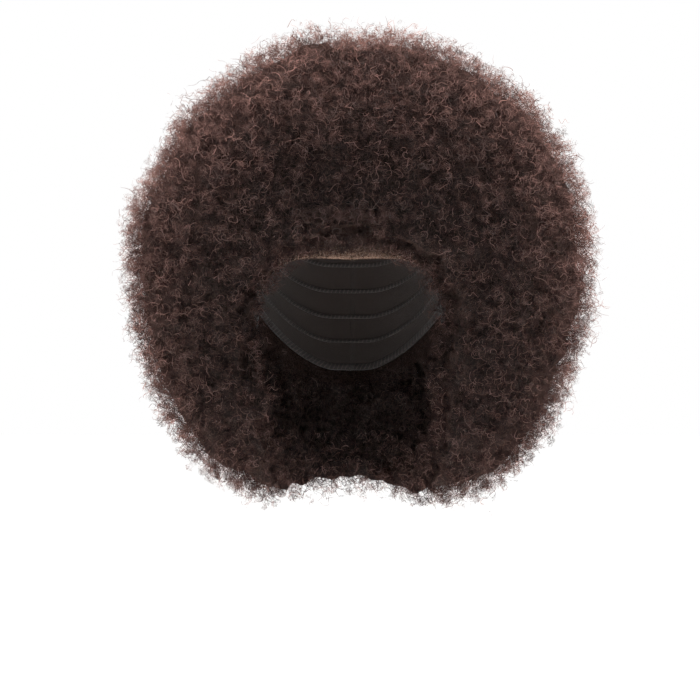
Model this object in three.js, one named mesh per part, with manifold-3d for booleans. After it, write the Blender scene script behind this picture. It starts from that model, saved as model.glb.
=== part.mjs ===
// Afro wig: a round mass of tight curls on a stretch cap, with a sheer lace strip at the forehead.
// Millimetres, +Z up. The wearer faces -Y and the wearer's left is +X.
// The origin is the inside of the cap's crown, where the top of the head touches it.
//
// The hair is built the way it is sewn: a backing of hair round the cap, with curl locks fused to it, in six
// sections that follow the wefts (fringe, crown, two sides, back and nape).
import * as THREE from 'three';
import { mergeVertices } from 'three/addons/utils/BufferGeometryUtils.js';
import Module from 'manifold-3d';

const wasm = await Module();
wasm.setup();

// The head that the cap fits
const HEAD_BREADTH = 154;
const HEAD_LENGTH = 200;
const CROWN_RISE = 95; // from the head's widest level up to the crown
const BROW_TAPER = 0.05; // how much narrower the forehead is than the back of the head

// The cap and its lace
const CAP_WALL = 1.5;
const LACE_WALL = 1;
const LACE_DEPTH = 27; // height of the lace strip at the middle of the forehead
const LACE_SPAN = 64; // degrees from the middle of the forehead to each end of the lace
const LACE_END_SHARE = 0.3; // height left at the ends of the strip
const NAPE_DROP = 160; // from the crown down to the cap's edge at the nape
const SEAM_GAP = 0.3; // between any two pieces that meet

// The hair
const HAIR_LENGTH = 93; // how far the curls stand off the side of the head
const HAIR_DROP = 79; // from the crown down to the middle of the ball of hair
const HAIR_SET_BACK = 12; // the ball's middle lies this far behind the head's
const HAIR_LEAN = 4; // and this far to the wearer's left
const LOCK_COUNT = 206; // on the whole ball, before the face opening takes its share
const LOCK_REACH = 13; // how far a lock's tip stands proud of the backing
const LOCK_ROOT = 8; // how deep it starts inside the backing
const LOCK_WIDTH = 41; // across a lock at its shoulder
const LOCK_LEAN = 7; // how far a lock's tip leans aside
const LOCK_ROOM = 0.16; // share of its width by which a lock's shoulder keeps clear of the face opening
const LOCK_SIDES = 5;
const LOCK_TWIST = 2.4; // radians that each lock is turned past the one before

// The cap's edge on one side of the head: degrees round from the middle of the forehead, and the drop below
// the crown as a share of NAPE_DROP. It dips to the ear tab, rises over the ear and falls to the nape.
const HAIRLINE = [
  { azimuth: 0, drop: 0.5 },
  { azimuth: 22, drop: 0.495 },
  { azimuth: 36, drop: 0.505 },
  { azimuth: 50, drop: 0.56 },
  { azimuth: 62, drop: 0.66 },
  { azimuth: 74, drop: 0.8 },
  { azimuth: 83, drop: 0.78 },
  { azimuth: 93, drop: 0.67 },
  { azimuth: 108, drop: 0.66 },
  { azimuth: 124, drop: 0.78 },
  { azimuth: 144, drop: 0.92 },
  { azimuth: 162, drop: 0.99 },
  { azimuth: 180, drop: 1 },
];

// The ball of hair by elevation above its middle, in degrees: how far it reaches to the wearer's left and
// right, to the front and to the back, as shares of the ball's radius. It is fuller below and flat over the
// face.
const BALL = [
  { elevation: -90, left: 1.09, right: 1.09, front: 1.09, back: 1.09 },
  { elevation: -75, left: 1.15, right: 1.17, front: 0.85, back: 1.12 },
  { elevation: -60, left: 1.16, right: 1.16, front: 0.62, back: 1.12 },
  { elevation: -45, left: 1.14, right: 1.12, front: 0.5, back: 1.1 },
  { elevation: -30, left: 1.1, right: 1.05, front: 0.52, back: 1.08 },
  { elevation: -10, left: 1.03, right: 1.01, front: 0.7, back: 1.06 },
  { elevation: 10, left: 1.02, right: 1.02, front: 0.86, back: 1.05 },
  { elevation: 30, left: 1.02, right: 0.99, front: 0.93, back: 1.04 },
  { elevation: 60, left: 1.01, right: 0.99, front: 0.96, back: 1.01 },
  { elevation: 90, left: 1, right: 1, front: 1, back: 1 },
];

// The opening for the face, section by section towards the front. reach is how far in front of the head's
// middle it lies, as a share of half the head's length; width is its half width and spring the drop to where
// its arch begins, as shares of half the head's breadth and of NAPE_DROP.
const FACE_OPENING = [
  { reach: -0.3, width: 0.64, spring: 0.72 },
  { reach: 0.25, width: 0.86, spring: 0.72 },
  { reach: 0.6, width: 0.98, spring: 0.76 },
  { reach: 1.1, width: 1.14, spring: 0.88 },
  { reach: 2.3, width: 1.5, spring: 1.05 },
];
const ARCH_DROP = 57; // from the crown down to the top of the arch, where the fringe ends

// The hollow for ears and neck below the cap. drop is a share of NAPE_DROP; width and back are shares of
// half the head's breadth and of half its length.
const NECK_HOLLOW = [
  { drop: 0.66, width: 0.8, back: 0.5 },
  { drop: 0.81, width: 1.05, back: 0.6 },
  { drop: 1, width: 1.1, back: 0.66 },
  { drop: 1.19, width: 1.07, back: 0.68 },
  { drop: 1.35, width: 0.94, back: 0.67 },
  { drop: 1.5, width: 0.78, back: 0.66 },
  { drop: 1.9, width: 0.72, back: 0.66 },
];

// Where the sections of hair part from each other, in degrees
const CROWN_ELEVATION = 46; // above it the hair belongs to the crown
const FRINGE_AZIMUTH = 48; // each way from the middle of the forehead
const BACK_AZIMUTH = 128; // behind it on each side the hair belongs to the back
const NAPE_ELEVATION = -22; // below it the back is the nape
const NECK_ELEVATION = -76; // below it no lock grows, because the neck comes through there

const SKULL_STEPS = 32; // round the head
const SKULL_LEVELS = 7; // from the edge to the crown
const BALL_STEPS = 20;
const BALL_LEVELS = 10;
const OPENING_STEPS = 8; // along the arch
const NECK_STEPS = 16;
const GOLDEN_TURN = Math.PI * (3 - Math.sqrt(5));

const COLOURS = { hair: 0x2a1d1a, cap: 0x1c1514, lace: 0xb98d6b };

const radians = THREE.MathUtils.degToRad;
const ballRadius = HEAD_BREADTH / 2 + HAIR_LENGTH;
const ballMiddle = new THREE.Vector3(HAIR_LEAN, HAIR_SET_BACK, -HAIR_DROP);

// A column of a table at the given place along its key column, on a smooth curve through the rows.
function readTable(rows, key, column, at) {
  const found = rows.findIndex((row) => row[key] >= at);
  const next = found < 0 ? rows.length - 1 : Math.max(found, 1);
  const row = (i) => rows[THREE.MathUtils.clamp(i, 0, rows.length - 1)];
  const [before, from, to, after] = [row(next - 2), row(next - 1), row(next), row(next + 1)];
  const span = to[key] - from[key];
  const share = THREE.MathUtils.clamp((at - from[key]) / span, 0, 1);
  const slope = (low, high) => ((high[column] - low[column]) / (high[key] - low[key])) * span;
  const [leave, arrive] = [slope(before, to), slope(from, after)];
  const [s2, s3] = [share ** 2, share ** 3];
  return (2 * s3 - 3 * s2 + 1) * from[column] + (s3 - 2 * s2 + share) * leave
    + (3 * s2 - 2 * s3) * to[column] + (s3 - s2) * arrive;
}

// A three.js geometry as a manifold-3d solid.
function solidOf(geometry) {
  const bare = geometry.index ? geometry.toNonIndexed() : geometry.clone();
  bare.deleteAttribute('normal');
  bare.deleteAttribute('uv');
  const merged = mergeVertices(bare, 1e-4);
  return new wasm.Manifold(new wasm.Mesh({
    numProp: 3,
    vertProperties: merged.attributes.position.array,
    triVerts: new Uint32Array(merged.index.array),
  }));
}

function geometryOf(solid) {
  const mesh = solid.getMesh();
  const geometry = new THREE.BufferGeometry();
  geometry.setAttribute('position', new THREE.BufferAttribute(mesh.vertProperties, 3));
  geometry.setIndex(new THREE.BufferAttribute(mesh.triVerts, 1));
  geometry.computeVertexNormals();
  return geometry;
}

// The closed body through a stack of rings of points. Each ring runs anticlockwise seen from the last ring's
// side. The first end is closed to its middle, and the last to the tip where there is one, or to its middle
// too.
function loft(rings, tip) {
  const sides = rings[0].length;
  const points = rings.flat();
  const corners = [];
  for (let level = 0; level + 1 < rings.length; level += 1) {
    for (let i = 0; i < sides; i += 1) {
      const [a, b] = [level * sides + i, level * sides + ((i + 1) % sides)];
      corners.push(a, b, b + sides, a, b + sides, a + sides);
    }
  }
  const last = (rings.length - 1) * sides;
  const middleOf = (ring) => ring.reduce((sum, p) => sum.add(p), new THREE.Vector3()).divideScalar(sides);
  points.push(middleOf(rings[0]), tip ?? middleOf(rings[rings.length - 1]));
  for (let i = 0; i < sides; i += 1) {
    const next = (i + 1) % sides;
    corners.push(points.length - 2, next, i, points.length - 1, last + i, last + next);
  }
  const geometry = new THREE.BufferGeometry().setFromPoints(points);
  geometry.setIndex(corners);
  return geometry;
}

// A point on the head, or offset off it, by its degrees round from the forehead and its angle above the
// widest level.
function skullPoint(azimuth, rise, offset) {
  const round = radians(azimuth);
  const level = Math.cos(rise);
  const taper = 1 - BROW_TAPER * level * Math.cos(round);
  return new THREE.Vector3(
    (HEAD_BREADTH / 2 + offset) * taper * level * Math.sin(round),
    -(HEAD_LENGTH / 2 + offset) * level * Math.cos(round),
    (CROWN_RISE + offset) * Math.sin(rise) - CROWN_RISE,
  );
}

const riseAt = (drop) => Math.asin(THREE.MathUtils.clamp((CROWN_RISE - drop) / CROWN_RISE, -0.95, 1));
const hairlineDrop = (azimuth) => NAPE_DROP * readTable(HAIRLINE, 'azimuth', 'drop', Math.abs(azimuth));

// The height of the lace strip at this azimuth. It narrows towards its two ends.
function laceHeight(azimuth) {
  const share = Math.min(Math.abs(azimuth) / LACE_SPAN, 1);
  return LACE_DEPTH * (1 - (1 - LACE_END_SHARE) * share ** 2);
}

const insideLace = (azimuth) => Math.abs(azimuth) < LACE_SPAN;

// The cap's own edge: the hairline, or the top of the lace where there is lace.
function capEdgeDrop(azimuth) {
  return hairlineDrop(azimuth) - (insideLace(azimuth) ? laceHeight(azimuth) : 0);
}

// A shell of even wall over the skull between two edges, given as functions of azimuth that return a rise.
// Its azimuths either close on themselves or end in two side walls.
function skullShell(azimuths, lower, upper, levels, wall, closed) {
  const points = [];
  const corners = [];
  const columns = azimuths.length;
  for (const offset of [0, wall]) {
    for (let level = 0; level <= levels; level += 1) {
      for (const azimuth of azimuths) {
        const share = level / levels;
        const rise = THREE.MathUtils.lerp(lower(azimuth), upper(azimuth), share);
        points.push(skullPoint(azimuth, rise, offset));
      }
    }
  }
  const at = (side, level, i) => (side * (levels + 1) + level) * columns + (i % columns);
  const quad = (a, b, c, d) => corners.push(a, b, c, a, c, d);
  const steps = closed ? columns : columns - 1;
  for (let i = 0; i < steps; i += 1) {
    for (let level = 0; level < levels; level += 1) {
      quad(at(0, level, i), at(0, level + 1, i), at(0, level + 1, i + 1), at(0, level, i + 1));
      quad(at(1, level, i), at(1, level, i + 1), at(1, level + 1, i + 1), at(1, level + 1, i));
    }
    quad(at(0, 0, i), at(0, 0, i + 1), at(1, 0, i + 1), at(1, 0, i));
    if (!closed) quad(at(0, levels, i), at(1, levels, i), at(1, levels, i + 1), at(0, levels, i + 1));
  }
  if (!closed) {
    for (let level = 0; level < levels; level += 1) {
      const end = columns - 1;
      quad(at(0, level, 0), at(1, level, 0), at(1, level + 1, 0), at(0, level + 1, 0));
      quad(at(0, level, end), at(0, level + 1, end), at(1, level + 1, end), at(1, level, end));
    }
  }
  const geometry = new THREE.BufferGeometry().setFromPoints(points);
  geometry.setIndex(corners);
  return geometry;
}

// The cap's azimuths, with a pair close together at each end of the lace so that its corner is square.
function capAzimuths() {
  const step = 360 / SKULL_STEPS;
  const corner = step / 6;
  const even = Array.from({ length: SKULL_STEPS }, (_, i) => -180 + i * step)
    .filter((azimuth) => Math.abs(Math.abs(azimuth) - LACE_SPAN) > step / 3);
  const ends = [-LACE_SPAN - corner, -LACE_SPAN + corner, LACE_SPAN - corner, LACE_SPAN + corner];
  return [...even, ...ends].sort((a, b) => a - b);
}

function capSolid() {
  const lower = (azimuth) => riseAt(capEdgeDrop(azimuth));
  const shell = skullShell(capAzimuths(), lower, () => Math.PI / 2, SKULL_LEVELS, CAP_WALL, true);
  return solidOf(shell);
}

// The lace strip butts against the cap's front edge, a seam's gap below it.
function laceSolid() {
  const corner = 360 / SKULL_STEPS / 6;
  const end = LACE_SPAN - corner - (SEAM_GAP / HEAD_BREADTH) * 180;
  const inner = capAzimuths().filter((azimuth) => Math.abs(azimuth) < LACE_SPAN - corner - 1);
  const azimuths = [-end, ...inner, end];
  const lower = (azimuth) => riseAt(hairlineDrop(azimuth));
  const upper = (azimuth) => riseAt(hairlineDrop(azimuth) - laceHeight(azimuth) + SEAM_GAP);
  return solidOf(skullShell(azimuths, lower, upper, 2, LACE_WALL, false));
}

// The ball's reach in a direction, given by its degrees round from the front and above its middle.
function ballReach(azimuth, elevation) {
  const round = radians(azimuth);
  const column = (name) => readTable(BALL, 'elevation', name, elevation);
  const side = Math.sin(round) > 0 ? column('left') : column('right');
  const along = Math.cos(round) > 0 ? column('front') : column('back');
  return ballRadius * (side * Math.sin(round) ** 2 + along * Math.cos(round) ** 2);
}

function ballDirection(azimuth, elevation) {
  const [round, up] = [radians(azimuth), radians(elevation)];
  return new THREE.Vector3(
    Math.cos(up) * Math.sin(round),
    -Math.cos(up) * Math.cos(round),
    Math.sin(up),
  );
}

// The backing: the ball less the reach of the locks.
function backingSolid() {
  const rings = [];
  for (let level = 1; level < BALL_LEVELS; level += 1) {
    const elevation = -90 + (180 * level) / BALL_LEVELS;
    const ring = [];
    for (let i = 0; i < BALL_STEPS; i += 1) {
      const azimuth = (360 * i) / BALL_STEPS;
      const reach = ballReach(azimuth, elevation) - LOCK_REACH;
      ring.push(ballDirection(azimuth, elevation).multiplyScalar(reach).add(ballMiddle));
    }
    rings.push(ring);
  }
  return solidOf(loft(rings));
}

// One curl lock from inside the backing out to the ball's surface: a bud of LOCK_SIDES sides that narrows
// from its shoulder to a pointed tip, leaning aside.
function lockSolid(azimuth, elevation, turn) {
  const out = ballDirection(azimuth, elevation);
  const reach = ballReach(azimuth, elevation);
  const across = new THREE.Vector3(0, 0, 1).cross(out).normalize();
  const up = out.clone().cross(across);
  const lean = across.clone().multiplyScalar(Math.cos(turn)).addScaledVector(up, Math.sin(turn));
  const start = reach - LOCK_REACH - LOCK_ROOT;
  const profile = [
    { along: 0, width: 0.9, lean: 0 },
    { along: 0.62, width: 0.9, lean: 0.4 },
  ];
  const rings = profile.map((row) => {
    const middle = ballMiddle.clone()
      .addScaledVector(out, THREE.MathUtils.lerp(start, reach, row.along))
      .addScaledVector(lean, LOCK_LEAN * row.lean);
    return Array.from({ length: LOCK_SIDES }, (_, i) => {
      const round = turn + (2 * Math.PI * i) / LOCK_SIDES;
      const radius = (LOCK_WIDTH / 2) * row.width;
      return middle.clone()
        .addScaledVector(across, radius * Math.cos(round))
        .addScaledVector(up, radius * Math.sin(round));
    });
  });
  const tip = ballMiddle.clone().addScaledVector(out, reach).addScaledVector(lean, LOCK_LEAN);
  return solidOf(loft(rings, tip));
}

// The half width of the face opening at a place in front of the head's middle and below the crown.
function openingWidth(forward, drop) {
  const at = forward / (HEAD_LENGTH / 2);
  const width = (HEAD_BREADTH / 2) * readTable(FACE_OPENING, 'reach', 'width', at);
  const spring = NAPE_DROP * readTable(FACE_OPENING, 'reach', 'spring', at);
  const share = THREE.MathUtils.clamp((spring - drop) / (spring - ARCH_DROP), 0, 1);
  return at < FACE_OPENING[0].reach || drop < ARCH_DROP ? 0 : width * Math.sqrt(1 - share ** 2);
}

// The air in front of the face and neck: an arch that widens towards the front, with its floor well below
// the hair.
function faceOpeningSolid() {
  const floorDrop = HAIR_DROP + 1.4 * ballRadius;
  const rings = FACE_OPENING.map((row) => {
    const forward = -row.reach * (HEAD_LENGTH / 2);
    const width = row.width * (HEAD_BREADTH / 2);
    const spring = row.spring * NAPE_DROP;
    const ring = [new THREE.Vector3(width, forward, -floorDrop)];
    for (let i = 0; i <= OPENING_STEPS; i += 1) {
      const round = (Math.PI * i) / OPENING_STEPS;
      const drop = spring - (spring - ARCH_DROP) * Math.sin(round);
      ring.push(new THREE.Vector3(width * Math.cos(round), forward, -drop));
    }
    ring.push(new THREE.Vector3(-width, forward, -floorDrop));
    return ring.reverse();
  });
  return solidOf(loft(rings.reverse()));
}

// The hollow that the capped head and the neck fill.
function headHollowSolid() {
  const offset = CAP_WALL + SEAM_GAP;
  const edgeRise = (azimuth) => riseAt(capEdgeDrop(azimuth));
  const laceRise = (azimuth, share) => riseAt(capEdgeDrop(azimuth) + share * laceHeight(azimuth));
  const ringAt = (riseOf) => capAzimuths().map((azimuth) => skullPoint(azimuth, riseOf(azimuth), offset));
  const skullRings = [0.2, 0.5, 0.8].map((share) => (
    ringAt((azimuth) => THREE.MathUtils.lerp(-Math.PI / 2, laceRise(azimuth, 1), share))
  ));
  skullRings.push(ringAt((azimuth) => laceRise(azimuth, 1)), ringAt((azimuth) => laceRise(azimuth, 0.5)));
  for (let level = 0; level < SKULL_LEVELS; level += 1) {
    const share = level / SKULL_LEVELS;
    skullRings.push(ringAt((azimuth) => THREE.MathUtils.lerp(edgeRise(azimuth), Math.PI / 2, share)));
  }
  const crownTop = new THREE.Vector3(0, 0, offset);
  const neckRings = NECK_HOLLOW.map((row) => Array.from({ length: NECK_STEPS }, (_, i) => {
    const round = (2 * Math.PI * i) / NECK_STEPS;
    return new THREE.Vector3(
      row.width * (HEAD_BREADTH / 2) * Math.cos(round),
      row.back * (HEAD_LENGTH / 2) * Math.sin(round),
      -row.drop * NAPE_DROP,
    );
  })).reverse();
  return solidOf(loft(skullRings, crownTop)).add(solidOf(loft(neckRings)));
}

// Whether a lock with its shoulder here would hang in the face opening.
function hangsOverFace(place) {
  const room = LOCK_WIDTH * LOCK_ROOM;
  return Math.abs(place.x) < openingWidth(-place.y, room - place.z) + room;
}

function lockSolids() {
  const locks = [];
  for (let i = 0; i < LOCK_COUNT; i += 1) {
    const height = 1 - (2 * i + 1) / LOCK_COUNT;
    const elevation = THREE.MathUtils.radToDeg(Math.asin(height));
    const azimuth = THREE.MathUtils.euclideanModulo(THREE.MathUtils.radToDeg(i * GOLDEN_TURN), 360);
    const shoulder = ballDirection(azimuth, elevation)
      .multiplyScalar(ballReach(azimuth, elevation) - LOCK_REACH)
      .add(ballMiddle);
    const overNeck = elevation < NECK_ELEVATION;
    if (!overNeck && !hangsOverFace(shoulder)) locks.push(lockSolid(azimuth, elevation, LOCK_TWIST * i));
  }
  return locks;
}

function hairMass() {
  const backing = backingSolid().subtract(faceOpeningSolid());
  return wasm.Manifold.union([backing, ...lockSolids()]).subtract(headHollowSolid());
}

// Space above a cone round the ball's middle, raised by half a seam, for parting the hair at an elevation.
function coneAbove(elevation, raise) {
  const reach = 2 * ballRadius;
  const rise = reach * Math.tan(radians(elevation));
  const profile = elevation > 0
    ? [[0, 0], [reach, rise], [0, rise]]
    : [[0, 0], [reach, rise], [reach, reach], [0, reach]];
  const points = profile.map(([x, z]) => new THREE.Vector2(x, z));
  const cone = new THREE.LatheGeometry(points, BALL_STEPS).rotateX(Math.PI / 2);
  return solidOf(cone.translate(ballMiddle.x, ballMiddle.y, ballMiddle.z + raise));
}

// A wedge of space between two azimuths, each side drawn in by half a seam.
function wedgeBetween(from, to) {
  const reach = 3 * ballRadius;
  const outline = new THREE.Shape();
  const half = SEAM_GAP / 2;
  const mid = radians((from + to) / 2);
  const inset = half / Math.sin(radians((to - from) / 2));
  outline.moveTo(inset * Math.sin(mid), -inset * Math.cos(mid));
  const steps = Math.max(2, Math.ceil((to - from) / 45));
  for (let i = 0; i <= steps; i += 1) {
    const round = radians(THREE.MathUtils.lerp(from, to, i / steps));
    outline.lineTo(
      reach * Math.sin(round) + inset * Math.sin(mid),
      -reach * Math.cos(round) - inset * Math.cos(mid),
    );
  }
  const prism = new THREE.ExtrudeGeometry(outline, { depth: 2 * reach, bevelEnabled: false });
  return solidOf(prism.translate(ballMiddle.x, ballMiddle.y, ballMiddle.z - reach));
}

// A section without the crumbs of its neighbours' locks, whose tips lean over the seam.
function trimmed(section) {
  return section.decompose().reduce((most, body) => (body.volume() > most.volume() ? body : most));
}

// The six sections of hair. Each is the whole mass less what the other sections hold.
function hairSections() {
  const mass = hairMass();
  const aboveCrown = coneAbove(CROWN_ELEVATION, SEAM_GAP);
  const aboveCrownSeam = coneAbove(CROWN_ELEVATION, 0);
  const aboveNape = coneAbove(NAPE_ELEVATION, SEAM_GAP);
  const aboveNapeSeam = coneAbove(NAPE_ELEVATION, 0);
  const ring = mass.subtract(aboveCrownSeam);
  const behind = ring.intersect(wedgeBetween(BACK_AZIMUTH, 360 - BACK_AZIMUTH));
  return {
    hair_crown: trimmed(mass.intersect(aboveCrown)),
    hair_fringe: trimmed(ring.intersect(wedgeBetween(-FRINGE_AZIMUTH, FRINGE_AZIMUTH))),
    hair_side_left: trimmed(ring.intersect(wedgeBetween(FRINGE_AZIMUTH, BACK_AZIMUTH))),
    hair_side_right: trimmed(ring.intersect(wedgeBetween(-BACK_AZIMUTH, -FRINGE_AZIMUTH))),
    hair_back: trimmed(behind.intersect(aboveNape)),
    hair_nape: trimmed(behind.subtract(aboveNapeSeam)),
  };
}

function part(name, solid, colour, roughness) {
  const material = new THREE.MeshStandardMaterial({ color: colour, roughness, metalness: 0 });
  const mesh = new THREE.Mesh(geometryOf(solid), material);
  mesh.name = name;
  return mesh;
}

const wig = new THREE.Group();
wig.add(part('wig_cap', capSolid(), COLOURS.cap, 0.8));
wig.add(part('lace_front', laceSolid(), COLOURS.lace, 0.7));
for (const [name, solid] of Object.entries(hairSections())) {
  wig.add(part(name, solid, COLOURS.hair, 0.9));
}

export default wig;
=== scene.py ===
"""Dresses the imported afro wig: a dense bed of hair, curls and loose hairs over it, the net cap inside, and
the lace at the hairline. Metres, +Z up, the wearer faces -Y, and the origin is the inside of the cap's crown.
"""

import bmesh
import bpy
import numpy as np
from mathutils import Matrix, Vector


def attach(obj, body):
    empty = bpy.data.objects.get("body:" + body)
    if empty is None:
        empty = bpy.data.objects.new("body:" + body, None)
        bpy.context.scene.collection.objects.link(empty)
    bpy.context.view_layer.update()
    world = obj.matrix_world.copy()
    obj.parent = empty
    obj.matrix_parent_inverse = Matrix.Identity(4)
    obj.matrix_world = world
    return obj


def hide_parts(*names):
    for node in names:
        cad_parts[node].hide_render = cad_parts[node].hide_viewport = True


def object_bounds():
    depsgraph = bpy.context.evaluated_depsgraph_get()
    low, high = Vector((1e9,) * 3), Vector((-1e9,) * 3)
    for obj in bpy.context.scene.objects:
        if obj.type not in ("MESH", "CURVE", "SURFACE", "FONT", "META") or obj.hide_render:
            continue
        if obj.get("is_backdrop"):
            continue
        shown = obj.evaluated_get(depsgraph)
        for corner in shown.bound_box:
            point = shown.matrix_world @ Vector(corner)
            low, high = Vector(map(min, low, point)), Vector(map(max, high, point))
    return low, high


bl_info = {
    "name": "Afro wig",
    "version": (1, 0, 0),
    "blender": (4, 5, 0),
    "location": "3D View > Sidebar > Wig",
    "description": "Dresses a packed afro wig with curls, a net cap and a lace hairline",
    "category": "Object",
}

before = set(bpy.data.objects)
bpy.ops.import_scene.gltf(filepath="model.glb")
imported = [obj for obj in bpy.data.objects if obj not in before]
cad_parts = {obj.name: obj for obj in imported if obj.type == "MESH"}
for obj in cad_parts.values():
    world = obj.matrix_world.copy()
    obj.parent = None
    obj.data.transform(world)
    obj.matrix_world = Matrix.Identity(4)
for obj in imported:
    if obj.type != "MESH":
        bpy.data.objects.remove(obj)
cad_low, cad_high = (np.array(corner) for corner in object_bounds())

HAIR_NODES = ("hair_fringe", "hair_crown", "hair_side_left", "hair_side_right", "hair_back", "hair_nape")

# The cap's edge on one side: degrees from the middle of the forehead, and its drop as a share of the nape's.
HAIRLINE = np.array([
    (0, 0.5), (22, 0.495), (36, 0.505), (50, 0.56), (62, 0.66), (74, 0.8), (83, 0.78),
    (93, 0.67), (108, 0.66), (124, 0.78), (144, 0.92), (162, 0.99), (180, 1.0),
])

# The ball of hair by elevation in degrees: its reach to the left, right, front and back, as shares of its
# radius.
BALL = np.array([
    (-90, 1.09, 1.09, 1.09, 1.09),
    (-75, 1.15, 1.17, 0.85, 1.12),
    (-60, 1.175, 1.155, 0.62, 1.12),
    (-45, 1.15, 1.115, 0.5, 1.1),
    (-30, 1.085, 1.055, 0.52, 1.08),
    (-10, 1.06, 1.03, 0.7, 1.06),
    (10, 1.05, 1.01, 0.86, 1.05),
    (30, 1.055, 0.99, 0.93, 1.04),
    (60, 1.04, 1.008, 0.965, 1.01),
    (90, 1.052, 1.052, 1.052, 1.052),
])

# The lace: its height at the middle of the forehead, the share of that height which is gone at LACE_TURN
# degrees to the side, and the degrees at which the strip ends.
LACE_HEIGHT = 0.027
LACE_LOSS = 0.7
LACE_TURN = 64
LACE_END = 62

# The cap: thickness of its net, how far the binding's middle lies above the edge in radians, rows of weft and
# the degrees from the back at which they end.
NET_THICKNESS = 0.0014
BINDING_RISE = 0.03
WEFT_ROWS = 9
WEFT_END = 168

# A band's outline, in shares of half its width and half its thickness, and those halves.
BAND_OUTLINE = np.array([
    (-1, -0.4), (-0.8, -1), (0.8, -1), (1, -0.4), (1, 0.4), (0.8, 1), (-0.8, 1), (-1, 0.4)])
BINDING_HALVES = (0.003, 0.0012)
WEFT_HALVES = (0.0014, 0.0006)

# Patterns on the cloth: the cells of net and lace, the spacing of ribs and stitches, and the stitches' slant
# in radians for each metre across.
NET_CELL = 0.0022
NET_RIB = 0.0009
BAND_RIB = 0.0011
BAND_STITCH = 0.0032
BAND_SLANT = 900.0
LACE_CELL = 0.0009

# Tiles each way in the square that the cards of fine hair take their look from.
TILES = 4

# Loose hairs stay inside the solids' box grown by this share of each side and this length.
STRAY_SHARE = 0.03
STRAY_LENGTH = 0.009


# Sizes, counts and colours that a user would change


def metres(name, description, default):
    return bpy.props.FloatProperty(name=name, description=description, default=default, subtype="DISTANCE")


def count_of(name, description, default):
    return bpy.props.IntProperty(name=name, description=description, default=default)


def colour(name, description, *default):
    return bpy.props.FloatVectorProperty(name=name, description=description, default=default, subtype="COLOR")


def watts(name, description, default):
    return bpy.props.FloatProperty(name=name, description=description, default=default, unit="POWER")


class WigShape(bpy.types.PropertyGroup):
    """The sizes of the head and of the ball of hair, as the solids have them."""

    head_breadth: metres("Head breadth", "Width of the head that the cap fits", 0.154)
    head_length: metres("Head length", "Length of the head from front to back", 0.2)
    crown_rise: metres("Crown rise", "From the head's widest level up to the crown", 0.095)
    brow_taper: bpy.props.FloatProperty(
        name="Brow taper", description="How much narrower the forehead is than the back", default=0.05,
        subtype="FACTOR")
    nape_drop: metres("Nape drop", "From the crown down to the cap's edge at the nape", 0.16)
    ball_radius: metres("Ball radius", "Radius of the ball of hair", 0.17)
    ball_middle: bpy.props.FloatVectorProperty(
        name="Ball middle", description="Middle of the ball of hair", default=(0.004, 0.012, -0.079),
        subtype="TRANSLATION")


class WigHair(bpy.types.PropertyGroup):
    """How the hair is curled."""

    bed_cell: metres("Bed cell", "Size of the cells of the hair bed's surface", 0.004)
    bed_inset: metres("Bed inset", "How far the dense bed lies under the outline", 0.0125)
    curl_count: count_of("Curls", "Curls on the whole wig", 22000)
    curl_radius: metres("Curl radius", "Radius of a middling curl", 0.0021)
    curl_width: metres("Strand width", "Width of a curl's strand", 0.0004)
    curl_layer: metres("Curl layer", "Depth of the layer of curls over the bed", 0.013)
    flyaway_count: count_of("Flyaways", "Loose hairs that stand off the outline", 14500)
    flyaway_width: metres("Flyaway width", "Width of a loose hair", 0.0003)
    flyaway_reach: metres("Flyaway reach", "How far the loose hairs stand off the bed", 0.0245)
    tangle_count: count_of("Tangles", "Small cards of tangled fine hair", 27000)
    tangle_layer: metres("Tangle layer", "Depth of the layer of fine hair over the bed", 0.0198)
    hairline_tangles: count_of("Hairline tangles", "Cards of fine hair over the lace", 2800)
    baby_hairs: count_of("Baby hairs", "Fine hairs along the hairline", 2200)
    seed: count_of("Seed", "Seed of every random choice", 7)


class WigColours(bpy.types.PropertyGroup):
    """The colours of hair, cap, lace and floor."""

    # Painted shade: this near-black stands in for the shade between the curls on the bed and in the deepest
    # curls. The lace's hair knots take it as their own dark colour.
    hair_shade_and_knots: colour("Deep hair", "Hair between the curls", 0.0058, 0.0045, 0.0042)
    hair_mid: colour("Hair", "Body of the curls", 0.0148, 0.0115, 0.0107)
    hair_light: colour("Light hair", "The lightest curls", 0.0545, 0.047, 0.0455)
    # The tips' own reddish colour, and partly painted backlight where it reddens the loose hairs at the rim.
    # It is also the colour of light let through from behind.
    hair_tip_and_backlight: colour("Tips", "Reddish tips that glow at the rim", 0.26, 0.135, 0.112)
    hair_sheen: colour("Sheen", "Soft light on the dense hair", 0.35, 0.2, 0.16)
    cap: colour("Cap", "Stretch net of the cap", 0.008, 0.006, 0.0055)
    net_cord: colour("Net cord", "Cords of the stretch net", 0.045, 0.034, 0.03)
    net_worn: colour("Worn net", "Patches where the net is worn", 0.02, 0.015, 0.0135)
    band_rib: colour("Band rib", "Ribs of the elastic and the wefts", 0.034, 0.026, 0.024)
    band_stitch: colour("Band stitch", "Stitches across the elastic and the wefts", 0.06, 0.043, 0.038)
    lace: colour("Lace", "Sheer lace at the hairline", 0.2, 0.122, 0.086)
    floor: colour("Floor", "Floor and background", 0.9, 0.9, 0.9)
    floor_cloud: colour("Floor cloud", "Faint clouds on the floor", 0.86, 0.86, 0.86)


class WigStage(bpy.types.PropertyGroup):
    """The camera and the light."""

    camera_distance: metres("Camera distance", "From the camera to the middle of the head", 2.29)
    camera_height: metres("Camera height", "Height of the level camera above the crown", -0.145)
    view_width: metres("View width", "What the picture spans at the middle of the head", 0.525)
    floor_drop: metres("Floor drop", "From the crown down to the floor", 0.46)
    key_power: watts("Key light", "Power of the light above the camera", 32.0)
    rim_power: watts("Rim lights", "Power of each light behind the wig", 95.0)
    top_power: watts("Top light", "Power of the light above the wig", 105.0)


# Shader maths


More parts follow.
